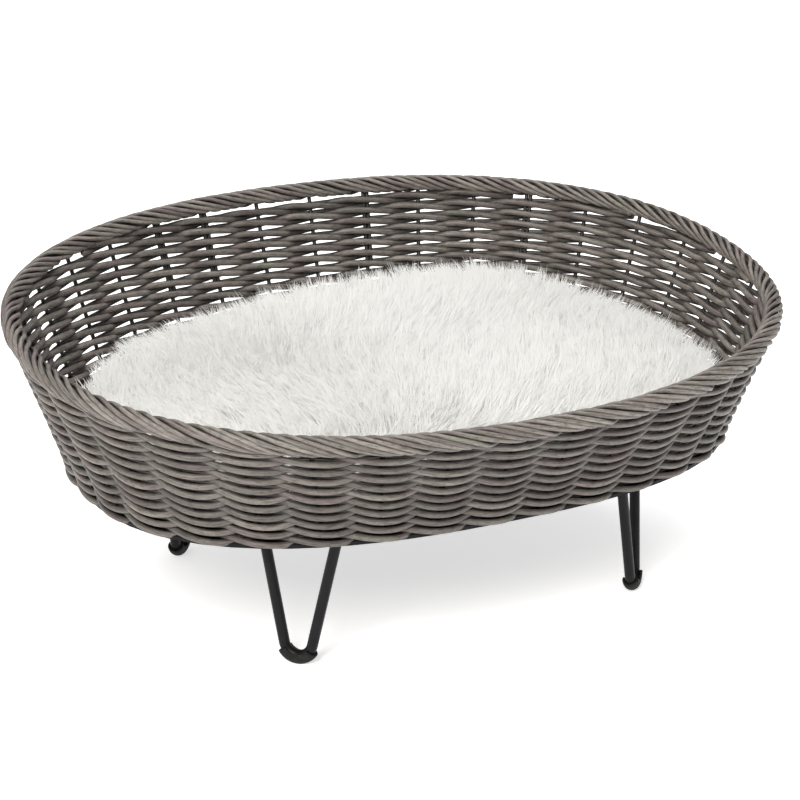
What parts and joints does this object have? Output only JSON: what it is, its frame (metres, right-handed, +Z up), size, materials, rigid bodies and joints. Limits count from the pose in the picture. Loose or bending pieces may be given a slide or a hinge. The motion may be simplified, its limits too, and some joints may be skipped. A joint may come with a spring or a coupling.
{
  "type": "raised pet bed",
  "caption": "Oval basket bed of twined stained cane, low at the front, on hairpin steel legs with rubber feet, with a loose long-pile plush cushion.",
  "frame": {"origin": "on the floor, under the middle of the bed", "axes": "+Z up, +X along the bed's length to the right seen from its low front, -Y towards the low front side"},
  "size_m": [0.6024, 0.4463, 0.2606],
  "materials": {
    "weaving_cane": "grey-brown stained round rattan cane, satin",
    "rim_cane": "grey-brown stained round rattan cane, satin",
    "board": "black painted plywood, satin",
    "leg_steel": "black powder coat, satin",
    "foot_rubber": "black moulded rubber, matte",
    "zinc_steel": "zinc plated",
    "plush": "white long-pile plush"
  },
  "bodies": {
    "bed": {"base_board": "board", "stakes_and_rim": "rim_cane", "weaver_01_a": "weaving_cane", "weaver_01_b": "weaving_cane", "weaver_02_a": "weaving_cane", "weaver_02_b": "weaving_cane", "weaver_03_a": "weaving_cane", "weaver_03_b": "weaving_cane", "weaver_04_a": "weaving_cane", "weaver_04_b": "weaving_cane", "weaver_05_a": "weaving_cane", "weaver_05_b": "weaving_cane", "weaver_06_a": "weaving_cane", "weaver_06_b": "weaving_cane", "weaver_07_a": "weaving_cane", "weaver_07_b": "weaving_cane", "weaver_08_a": "weaving_cane", "weaver_08_b": "weaving_cane", "weaver_09_a": "weaving_cane", "weaver_09_b": "weaving_cane", "weaver_10_a": "weaving_cane", "weaver_10_b": "weaving_cane", "back_weaver_11_a": "weaving_cane", "back_weaver_11_b": "weaving_cane", "back_weaver_12_a": "weaving_cane", "back_weaver_12_b": "weaving_cane", "back_weaver_13_a": "weaving_cane", "back_weaver_13_b": "weaving_cane", "back_weaver_14_a": "weaving_cane", "back_weaver_14_b": "weaving_cane", "back_weaver_15_a": "weaving_cane", "back_weaver_15_b": "weaving_cane", "back_weaver_16_a": "weaving_cane", "back_weaver_16_b": "weaving_cane", "front_left_leg": "leg_steel", "front_right_leg": "leg_steel", "back_left_leg": "leg_steel", "back_right_leg": "leg_steel", "front_left_foot": "foot_rubber", "front_right_foot": "foot_rubber", "back_left_foot": "foot_rubber", "back_right_foot": "foot_rubber", "front_left_screw_a": "zinc_steel", "front_left_screw_b": "zinc_steel", "front_right_screw_a": "zinc_steel", "front_right_screw_b": "zinc_steel", "back_left_screw_a": "zinc_steel", "back_left_screw_b": "zinc_steel", "back_right_screw_a": "zinc_steel", "back_right_screw_b": "zinc_steel", "front_left_nut_a": "zinc_steel", "front_left_nut_b": "zinc_steel", "front_right_nut_a": "zinc_steel", "front_right_nut_b": "zinc_steel", "back_left_nut_a": "zinc_steel", "back_left_nut_b": "zinc_steel", "back_right_nut_a": "zinc_steel", "back_right_nut_b": "zinc_steel"},
    "cushion": {"cushion": "plush"}
  },
  "joints": [
    {"name": "cushion_lift", "type": "slide", "parent": "bed", "child": "cushion", "axis": [0, 0, 1], "range_m": [0, 0.17]}
  ]
}
